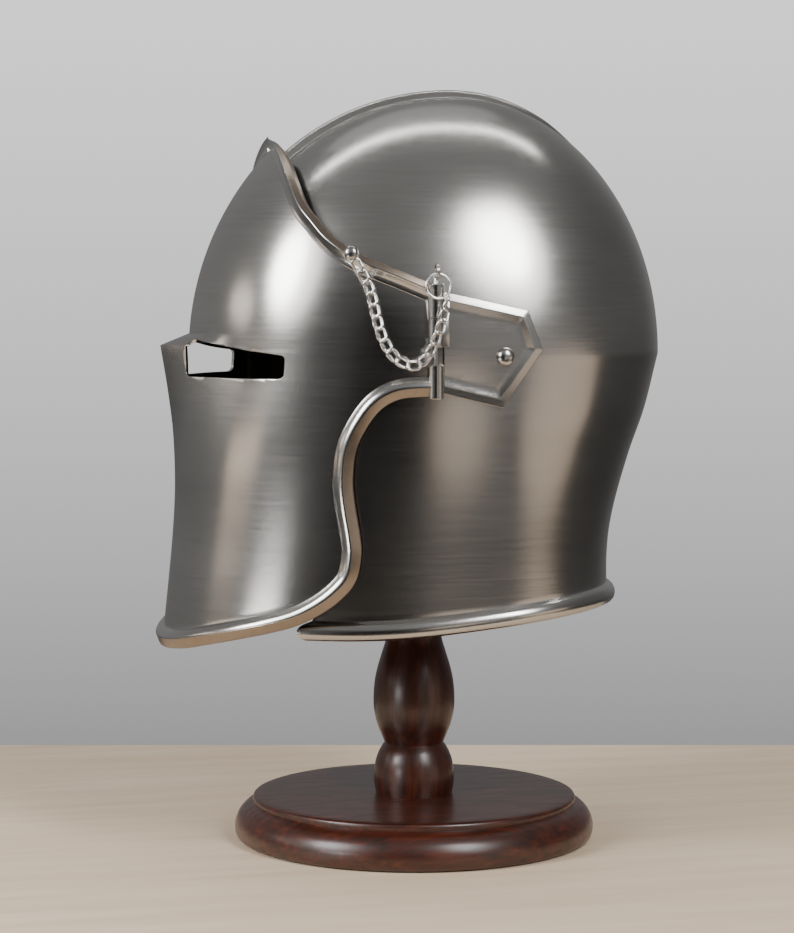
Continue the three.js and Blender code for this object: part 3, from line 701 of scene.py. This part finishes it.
PIN_X = 105.9
PIN_Y = -15.5
KNUCKLE_RADIUS = 4.1
KNUCKLE_BORE = 1.65
VISOR_KNUCKLES = [(248, 265.6), (289.6, 307)]


def hinge_tube(low, high, side):
    """One brazed hinge tube with rounded lips, on the line of the pin."""
    lip = 0.5
    runs = [
        [(KNUCKLE_BORE, low + lip), (KNUCKLE_BORE + lip, low)],
        [(KNUCKLE_BORE + lip, low), (KNUCKLE_RADIUS - lip, low)],
        [(KNUCKLE_RADIUS - lip, low), (KNUCKLE_RADIUS, low + lip)],
        [(KNUCKLE_RADIUS, low + lip), (KNUCKLE_RADIUS, high - lip)],
        [(KNUCKLE_RADIUS, high - lip), (KNUCKLE_RADIUS - lip, high)],
        [(KNUCKLE_RADIUS - lip, high), (KNUCKLE_BORE + lip, high)],
        [(KNUCKLE_BORE + lip, high), (KNUCKLE_BORE, high - lip)],
        [(KNUCKLE_BORE, high - lip), (KNUCKLE_BORE, low + lip)],
    ]
    tube = turned(runs, around=40)
    bmesh.ops.translate(tube, vec=Vector((side * PIN_X, PIN_Y, 0)) / 1000, verts=tube.verts)
    return tube


for side in (1, -1):
    for low, high in VISOR_KNUCKLES:
        add_mesh(visor, hinge_tube(low, high, side))
# Painted shade: the borders' return faces get a darker, browner steel that stands in for the shadowed table they
# reflect under the helmet.
shaded_return_steel = brushed_steel("shaded_return_steel", 0.30, 0.03, (300, 300, 300), 0.0, (0.36, 0.30, 0.245, 1), (0.25, 0.205, 0.165, 1))
visor_piece = set_piece(visor, "visor_plate", plate_steel, "visor_assembly", "brushed_plate", "visor")
visor_piece.data.materials.append(forge_dark)
visor_piece.data.materials.append(shaded_return_steel)

# Hinge arms: a five-sided steel plate on each side of the skull, dished to lie on it.
# Each has a raised, bevelled border, turns on the pivot rivet, and carries the middle tube of the visor's hinge.
ARM_OUTLINE = [(-10.6, 303), (34, 293.4), (42, 272.8), (20.5, 243), (-10.6, 250.6)]
ARM_FACE_X = 103.9
ARM_DISH_RADIUS = 330
ARM_BORDER = [(0, 1.6), (0.3, 1.9), (3.6, 2.5), (4.0, 2.56), (4.4, 2.5), (6.0, 2.15), (7.6, 1.9), (9.2, 1.8)]
ARM_KNUCKLE = (274.6, 289.2)


def arm_lines():
    """Each side of the arm's outline as a point and its inward direction; the last is the hinge side."""
    corners = [Vector((0, y, z)) for y, z in ARM_OUTLINE]
    lines = []
    for i, corner in enumerate(corners):
        along = (corners[(i + 1) % len(corners)] - corner).normalized()
        lines.append((corner, Vector((0, along.z, -along.y))))
    return lines


def border_height(distance):
    for (d0, h0), (d1, h1) in zip(ARM_BORDER, ARM_BORDER[1:]):
        if distance <= d1:
            return h0 + (h1 - h0) * (distance - d0) / (d1 - d0)
    return ARM_BORDER[-1][1]


def hinge_arm(side):
    """One arm with its tube, for the wearer's left (1) or right (-1)."""
    sides = arm_lines()
    middle = Vector((0, 14, 271))
    sides = [(c, n if (middle - c).dot(n) > 0 else -n) for c, n in sides]
    arm = bmesh.new()
    bmesh.ops.create_grid(arm, x_segments=24, y_segments=28, size=1,
                          matrix=Matrix.Translation(middle) @ Matrix.Diagonal((1, 34, 40, 1))
                          @ Matrix.Rotation(math.pi / 2, 4, "Y"))
    for corner, inward in sides:
        bmesh.ops.bisect_plane(arm, geom=arm.verts[:] + arm.edges[:] + arm.faces[:], dist=1e-3,
                               plane_co=corner, plane_no=inward, clear_inner=True)
    bordered = sides[:-1]
    for corner, inward in bordered:
        for distance, _ in ARM_BORDER[1:]:
            bmesh.ops.bisect_plane(arm, geom=arm.verts[:] + arm.edges[:] + arm.faces[:], dist=1e-3,
                                   plane_co=corner + inward * distance, plane_no=inward)
    for k in range(1, len(bordered)):
        corner, inward = bordered[k]
        before = bordered[k - 1][1]
        bmesh.ops.bisect_plane(arm, geom=arm.verts[:] + arm.edges[:] + arm.faces[:], dist=1e-3,
                               plane_co=corner, plane_no=inward - before)
    underside = arm.verts.layers.float_vector.new("under")
    for vert in arm.verts:
        distance = min((vert.co - c).dot(n) for c, n in bordered)
        away = (vert.co.y - PIVOT_Y) ** 2 + (vert.co.z - PIVOT_Z) ** 2
        face = ARM_FACE_X - away / (2 * ARM_DISH_RADIUS)
        y, z = vert.co.y, vert.co.z
        vert[underside] = Vector((side * face, y, z)) / 1000
        vert.co = Vector((side * (face + border_height(max(distance, 0))), y, z)) / 1000
    backs = bmesh.ops.extrude_face_region(arm, geom=arm.faces[:])
    for vert in backs["geom"]:
        if isinstance(vert, bmesh.types.BMVert):
            vert.co = vert[underside]
    tidy_surface(arm)
    low, high = ARM_KNUCKLE
    tab = bmesh.new()
    bmesh.ops.create_cube(tab, size=1, matrix=Matrix.Translation(Vector((side * (PIN_X - 1), PIN_Y + 3.6, (low + high) / 2)) / 1000)
                          @ Matrix.Diagonal((0.003, 0.007, (high - low) / 1000, 1)))
    bmesh.ops.bevel(tab, geom=tab.edges[:], offset=0.0006, offset_type="OFFSET", segments=2, profile=0.5,
                    affect="EDGES", material=-1)
    add_mesh(arm, tab)
    add_mesh(arm, hinge_tube(low, high, side))
    return arm


arm_steel = brushed_steel("arm_steel", 0.21, 0.09, (26, 26, 1200))
for side, hand in ((1, "left"), (-1, "right")):
    set_piece(hinge_arm(side), f"hinge_arm_{hand}", arm_steel, "visor_assembly", "brushed_plate",
              f"visor_arm_{hand}", crease=24)

# Pivot rivets: domed steel rivets on a thin washer, set through the arms and the skull.
# Their heads are filed and polished, and the visor turns about them.
PIVOT_RIVET_RADIUS = 4.7
RIVET_SHANK = 2.3
rivet_steel = brushed_steel("rivet_steel", 0.22, 0.03, (300, 300, 300))
for side, hand in ((1, "left"), (-1, "right")):
    face = ARM_FACE_X + 2.1
    r = PIVOT_RIVET_RADIUS
    rivet = turned([
        [(0, 99.5), (RIVET_SHANK, 99.5)],
        [(RIVET_SHANK, 99.5), (RIVET_SHANK, face)],
        [(RIVET_SHANK, face), (r - 0.2, face)],
        [(r - 0.2, face), (r, face + 0.25), (r * 0.97, face + 1), (r * 0.86, face + 2), (r * 0.62, face + 2.9),
         (r * 0.32, face + 3.35), (0, face + 3.5)],
    ], around=48)
    place = Matrix.Translation(Vector((0, PIVOT_Y, PIVOT_Z)) / 1000) @ Matrix.Rotation(side * math.pi / 2, 4, "Y")
    bmesh.ops.transform(rivet, matrix=place, verts=rivet.verts)
    set_piece(rivet, f"pivot_dome_{hand}", rivet_steel, "helmet_and_stand", "rivet_steel", f"pivot_rivet_{hand}")

# Hinge pins: a length of steel wire pushed down through the three tubes, its top bent into an eye.
# Pulled out by its ring, it frees that side of the visor.
PIN_RADIUS = 1.2
PIN_LOW_Z = 248.4
PIN_HIGH_Z = 310.4
EYE_RADIUS = 3.3
EYE_WIRE = 0.9
EYE_LEAN = 2.2


def wire_ring(place, radius, wire, steps=44, sides=14):
    """A closed ring of round wire in the plane of a placement."""
    bm = bmesh.new()
    start = place @ Matrix.Translation((radius / 1000, 0, 0)) @ Matrix.Rotation(math.pi / 2, 4, "X")
    bmesh.ops.create_circle(bm, segments=sides, radius=wire / 1000, matrix=start)
    bmesh.ops.spin(bm, geom=bm.verts[:] + bm.edges[:], cent=place.translation, axis=place.col[2].to_3d(),
                   angle=math.tau, steps=steps, use_merge=True)
    tidy_surface(bm)
    return bm


def placed(x, y, z, turn):
    return Matrix.Translation(Vector((x, y, z)) / 1000) @ turn


for side, hand in ((1, "left"), (-1, "right")):
    pin = turned([
        [(0, PIN_LOW_Z), (PIN_RADIUS - 0.3, PIN_LOW_Z)],
        [(PIN_RADIUS - 0.3, PIN_LOW_Z), (PIN_RADIUS, PIN_LOW_Z + 0.3)],
        [(PIN_RADIUS, PIN_LOW_Z + 0.3), (PIN_RADIUS, PIN_HIGH_Z - 0.6)],
        [(PIN_RADIUS, PIN_HIGH_Z - 0.6), (PIN_RADIUS * 0.7, PIN_HIGH_Z), (0, PIN_HIGH_Z + 0.2)],
    ], around=24)
    bmesh.ops.translate(pin, vec=Vector((side * PIN_X, PIN_Y, 0)) / 1000, verts=pin.verts)
    eye_place = placed(side * (PIN_X + EYE_LEAN), PIN_Y, PIN_HIGH_Z + EYE_RADIUS - 0.6, Matrix.Rotation(math.pi / 2, 4, "X"))
    add_mesh(pin, wire_ring(eye_place, EYE_RADIUS, EYE_WIRE))
    set_piece(pin, f"wire_pin_{hand}", rivet_steel, "visor_assembly", "rivet_steel", f"hinge_pin_{hand}")

# Pin rings: a ring of bright wire through the eye of each pin, leaning out over the hinge.
# The chain's last link hangs in it.
RING_RADIUS = 6.4
RING_WIRE = 0.7
RING_LEAN = 0.17
bright_wire = brushed_steel("bright_wire", 0.17, 0.02, (500, 500, 500), 0.0, (0.86, 0.85, 0.84, 1), (0.74, 0.73, 0.72, 1))
for side, hand in ((1, "left"), (-1, "right")):
    top = Vector((side * (PIN_X + EYE_LEAN + 1), PIN_Y, PIN_HIGH_Z + EYE_RADIUS - 1.6))
    centre = top + Vector((side * math.sin(RING_LEAN), 0, -math.cos(RING_LEAN))) * RING_RADIUS
    turn = Matrix.Rotation(math.pi / 2 - side * RING_LEAN, 4, "Y")
    set_piece(wire_ring(placed(*centre, turn), RING_RADIUS, RING_WIRE, 64), f"pull_ring_{hand}", bright_wire,
              "visor_assembly", "bright_wire", f"pin_ring_{hand}")

# Pin chains: links of bright steel wire, each turned against the next, bent shut without solder.
# A wire loop holds the chain at its rivet, and it hangs from there in one curve to the ring of the pin.
LINK_LENGTH = 8.45
LINK_WIDTH = 5.7
LINK_WIRE = 0.74
LINK_TWIST = 0.62
LINK_COUNT = 17
LOOP_RADIUS = 3
CHAIN_RIVET_Y = -54.4
CHAIN_RIVET_Z = 320.4
CHAIN_RIVET_LIFT = 5.2
CHAIN_ROUTE = [(97.6, -48.9, 305), (100.2, -46.2, 292.4), (102.2, -43.5, 281.2), (104.2, -38.4, 271.2),
               (106, -31.7, 266.2), (108.2, -25.2, 266), (111.3, -20, 272.4), (113.2, -16, 282.2),
               (113.2, -12.9, 291.8), (112.2, -11.3, 297)]


def wire_link(place):
    """One oval link: two half turns of wire and the straight wires between them."""
    bend = (LINK_WIDTH / 2 - LINK_WIRE) / 1000
    straight = (LINK_LENGTH / 2 - LINK_WIRE) / 1000 - bend
    bm = bmesh.new()
    bmesh.ops.create_circle(bm, segments=12, radius=LINK_WIRE / 1000,
                            matrix=Matrix.Translation((straight, bend, 0)) @ Matrix.Rotation(math.pi / 2, 4, "Y"))
    first = bm.edges[:]
    ring = bm.verts[:] + first
    for end in (1, -1):
        turn = bmesh.ops.spin(bm, geom=ring, cent=(end * straight, 0, 0), axis=(0, 0, -1), angle=math.pi, steps=12)
        last = [g for g in turn["geom_last"] if isinstance(g, bmesh.types.BMEdge)]
        if end == 1:
            pulled = bmesh.ops.extrude_edge_only(bm, edges=last)["geom"]
            verts = [g for g in pulled if isinstance(g, bmesh.types.BMVert)]
            bmesh.ops.translate(bm, vec=(-2 * straight, 0, 0), verts=verts)
            edges = [e for e in bm.edges if all(v in verts for v in e.verts)]
            ring = verts + edges
    bmesh.ops.bridge_loops(bm, edges=last + first)
    bmesh.ops.recalc_face_normals(bm, faces=bm.faces)
    for vert in bm.verts:
        vert.co.rotate(Matrix.Rotation(LINK_TWIST * vert.co.x * 2000 / LINK_LENGTH, 3, "X"))
    bmesh.ops.transform(bm, matrix=place, verts=bm.verts)
    return bm


def axes(along, side, centre):
    """Placement whose X runs along one direction and Y along another."""
    up = along.cross(side)
    turn = Matrix((along, side, up)).transposed().to_4x4()
    return Matrix.Translation(centre / 1000) @ turn


rivet_seat = Vector((visor_x(CHAIN_RIVET_Y, CHAIN_RIVET_Z), CHAIN_RIVET_Y, CHAIN_RIVET_Z))
rivet_normal = visor_normal(rivet_seat)
rivet_foot = rivet_seat + rivet_normal * CHAIN_RIVET_LIFT
rivet_turn = rivet_normal.to_track_quat("Z", "Y").to_matrix().to_4x4()
loop_centre = rivet_foot + rivet_normal * 1.5


def pin_chain():
    """The chain on the wearer's left."""
    chain = wire_ring(placed(*loop_centre, rivet_turn), LOOP_RADIUS, LINK_WIRE, 40, 12)
    rows = [Vector(p) for p in CHAIN_ROUTE]
    away = rows[0] - loop_centre
    away = (away - rivet_normal * away.dot(rivet_normal)).normalized()
    rows.insert(0, loop_centre + away * (LOOP_RADIUS + LINK_LENGTH / 2 - LINK_WIRE))
    route = even_points(smooth_run(rows, 40), LINK_COUNT - 1)
    for i, point in enumerate(route):
        along = (route[min(i + 1, LINK_COUNT - 1)] - route[max(i - 1, 0)]).normalized()
        flat = Vector((1, 0, 0)).cross(along).normalized()
        off = along.cross(flat).normalized()
        lean = 0.9 if i == LINK_COUNT - 1 else 0.12
        side = flat * math.cos(lean) + off * math.sin(lean)
        add_mesh(chain, wire_link(axes(along, side, point)))
    return chain


def other_hand(bm):
    """The same piece for the wearer's right."""
    bmesh.ops.scale(bm, vec=(-1, 1, 1), verts=bm.verts)
    bmesh.ops.reverse_faces(bm, faces=bm.faces)
    return bm


set_piece(pin_chain(), "chain_left", bright_wire, "visor_assembly", "bright_wire", "pin_chain_left", crease=60)
set_piece(other_hand(pin_chain()), "chain_right", bright_wire, "visor_assembly", "bright_wire", "pin_chain_right",
          crease=60)

# Chain rivets: round-headed steel rivets on thin necks, set in the flange of the visor.
# The chain's wire loop turns on the neck, under the ball of the head.
CHAIN_RIVET_RADIUS = 3.8
CHAIN_RIVET_NECK = 1.7


def chain_rivet():
    r, neck = CHAIN_RIVET_RADIUS, CHAIN_RIVET_NECK
    rivet = turned([
        [(0, 0), (neck, 0)],
        [(neck, 0), (neck, 2.6)],
        [(neck, 2.6), (r * 0.8, 2.95), (r, 3.9), (r * 0.96, 5), (r * 0.75, 6.2), (r * 0.4, 6.9), (0, 7.1)],
    ], around=40)
    bmesh.ops.transform(rivet, matrix=placed(*rivet_foot, rivet_turn), verts=rivet.verts)
    return rivet


set_piece(chain_rivet(), "ball_rivet_left", rivet_steel, "visor_assembly", "rivet_steel", "chain_rivet_left")
set_piece(other_hand(chain_rivet()), "ball_rivet_right", rivet_steel, "visor_assembly", "rivet_steel",
          "chain_rivet_right")

# Stage: a plain pale table top, a grey surround, soft boxes and the camera at the photograph's angle.
# The surround is darker towards the camera and behind the helmet, as an unlit room is.
CAMERA_TURN = math.radians(14)
CAMERA_TILT = math.radians(3.855)
CAMERA_PLACE = (1.3755, -0.3527, 0.302)
CAMERA_LENS = 99.0
TABLE_FAR = 0.284
TABLE_NEAR = 0.34
look = Vector((-math.cos(CAMERA_TURN) * math.cos(CAMERA_TILT), math.sin(CAMERA_TURN) * math.cos(CAMERA_TILT),
               -math.sin(CAMERA_TILT)))
camera_data = bpy.data.cameras.new("camera")
camera_data.lens = CAMERA_LENS
camera_data.sensor_width = 36
camera_data.sensor_fit = "AUTO"
camera = bpy.data.objects.new("camera", camera_data)
camera.location = CAMERA_PLACE
camera.rotation_euler = look.to_track_quat("-Z", "Y").to_euler()
bpy.context.scene.collection.objects.link(camera)
bpy.context.scene.camera = camera

table = bmesh.new()
bmesh.ops.create_grid(table, x_segments=1, y_segments=1, size=1,
                      matrix=Matrix.Rotation(-CAMERA_TURN, 4, "Z")
                      @ Matrix.Translation(((TABLE_NEAR - TABLE_FAR) / 2, 0, 0))
                      @ Matrix.Diagonal(((TABLE_NEAR + TABLE_FAR) / 2, 0.46, 1, 1)))
table_mesh = bpy.data.meshes.new("table_top")
table.to_mesh(table_mesh)
table.free()
table_finish, table_shader, table_add, table_join = new_finish("pale_table")
boards = stretched_noise(table_add, table_join, (60, 5, 1), Scale=1.0, Detail=5.0, Roughness=0.6)
board_tone = colour_ramp(table_add, table_join, boards.outputs["Fac"],
                         [(0.3, (0.77, 0.585, 0.41, 1)), (0.7, (0.88, 0.71, 0.53, 1))])
table_join(board_tone.outputs["Color"], table_shader.inputs["Base Color"])
table_shader.inputs["Roughness"].default_value = 0.5
table_mesh.materials.append(table_finish)
table_top = bpy.data.objects.new("table_top", table_mesh)
bpy.context.scene.collection.objects.link(table_top)
table_top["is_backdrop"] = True

BACKDROP_HIGH = (1.16, 1.16, 1.17, 1)
BACKDROP_LOW = (0.365, 0.362, 0.366, 1)
SURROUND_GREY = 0.24
FLOOR_SHARE = 0.38
DARK_SIDES = [(57, 2, 0.82, 0.97, 0.70), (76, 0, 0.93, 0.985, 0.90), (180, 5, 0.5, 0.97, 0.50)]


def direction(azimuth, elevation):
    """Direction from the helmet: azimuth 0 is its front, 90 the wearer's left."""
    a, e = math.radians(azimuth), math.radians(elevation)
    return Vector((math.sin(a) * math.cos(e), -math.cos(a) * math.cos(e), math.sin(e)))


world = bpy.data.worlds.new("surround")
world.use_nodes = True
sky = world.node_tree
background = sky.nodes["Background"]
toward = sky.nodes.new("ShaderNodeTexCoord")
grey = None
for azimuth, elevation, edge, core, depth in DARK_SIDES:
    facing = sky.nodes.new("ShaderNodeVectorMath")
    facing.operation = "DOT_PRODUCT"
    facing.inputs[1].default_value = direction(azimuth, elevation)
    sky.links.new(toward.outputs["Generated"], facing.inputs[0])
    shade = sky.nodes.new("ShaderNodeMapRange")
    shade.interpolation_type = "SMOOTHSTEP"
    for socket, value in (("From Min", edge), ("From Max", core), ("To Min", 1.0), ("To Max", 1 - depth)):
        shade.inputs[socket].default_value = value
    sky.links.new(facing.outputs["Value"], shade.inputs["Value"])
    times = sky.nodes.new("ShaderNodeMath")
    times.operation = "MULTIPLY"
    times.inputs[1].default_value = SURROUND_GREY
    if grey:
        sky.links.new(grey.outputs["Value"], times.inputs[1])
    sky.links.new(shade.outputs["Result"], times.inputs[0])
    grey = times
height = sky.nodes.new("ShaderNodeSeparateXYZ")
sky.links.new(toward.outputs["Generated"], height.inputs["Vector"])
floor = sky.nodes.new("ShaderNodeMapRange")
floor.interpolation_type = "SMOOTHSTEP"
for socket, value in (("From Min", -0.26), ("From Max", 0.14), ("To Min", FLOOR_SHARE), ("To Max", 1.0)):
    floor.inputs[socket].default_value = value
sky.links.new(height.outputs["Z"], floor.inputs["Value"])
room = sky.nodes.new("ShaderNodeMath")
room.operation = "MULTIPLY"
sky.links.new(floor.outputs["Result"], room.inputs[0])
sky.links.new(grey.outputs["Value"], room.inputs[1])
backdrop = sky.nodes.new("ShaderNodeValToRGB")
backdrop.color_ramp.elements[0].color = BACKDROP_LOW
backdrop.color_ramp.elements[1].color = BACKDROP_HIGH
rise = sky.nodes.new("ShaderNodeMapRange")
rise.inputs["From Min"].default_value = -0.175
rise.inputs["From Max"].default_value = 0.10
sky.links.new(height.outputs["Z"], rise.inputs["Value"])
sky.links.new(rise.outputs["Result"], backdrop.inputs["Fac"])
seen = sky.nodes.new("ShaderNodeLightPath")
either = sky.nodes.new("ShaderNodeMix")
either.data_type = "RGBA"
sky.links.new(seen.outputs["Is Camera Ray"], either.inputs["Factor"])
sky.links.new(room.outputs["Value"], either.inputs["A"])
sky.links.new(backdrop.outputs["Color"], either.inputs["B"])
sky.links.new(either.outputs["Result"], background.inputs["Color"])
background.inputs["Strength"].default_value = 1.0
bpy.context.scene.world = world

HELMET_MIDDLE = Vector((0, 0, 0.27))


def soft_box(name, azimuth, elevation, away, width, tall, radiance, shape="ELLIPSE", colour=(1, 1, 1)):
    """A soft box in a direction from the helmet, with the brightness of its face."""
    light = bpy.data.lights.new(name, "AREA")
    light.shape = shape
    light.size = width
    light.size_y = tall
    light.energy = radiance * width * tall * math.pi
    light.color = colour
    box = bpy.data.objects.new(name, light)
    box.location = HELMET_MIDDLE + direction(azimuth, elevation) * away
    box.rotation_euler = (-direction(azimuth, elevation)).to_track_quat("-Z", "Y").to_euler()
    box.visible_camera = False
    bpy.context.scene.collection.objects.link(box)
    return box


soft_box("front_box", 16, 26, 1.9, 0.62, 0.80, 12)
soft_box("front_halo", 20, 25, 2.0, 1.15, 1.20, 2.6)
soft_box("rear_box", 113, 36, 1.9, 0.48, 0.90, 12)
soft_box("rear_halo", 114, 33, 2.0, 0.95, 1.50, 2.6)
soft_box("overhead_strip", -100, 76, 1.75, 2.2, 0.04, 24, "RECTANGLE")
soft_box("top_fill", -95, 58, 2.2, 1.6, 1.0, 0.2)
soft_box("low_card", 31, -21.5, 0.52, 0.15, 0.05, 11)
soft_box("warm_side", 133, -9, 1.0, 0.72, 0.32, 0.55, "ELLIPSE", (1, 0.79, 0.61))
soft_box("warm_low", 95, -9, 0.9, 0.26, 0.20, 0.55, "ELLIPSE", (1, 0.82, 0.66))
soft_box("warm_front", 4, -3, 1.0, 0.5, 0.06, 1.7, "ELLIPSE", (1, 0.80, 0.62))
soft_box("front_fill", -16, 12, 2.2, 0.8, 0.4, 1.4, "ELLIPSE", (1, 0.90, 0.80))

low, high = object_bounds()
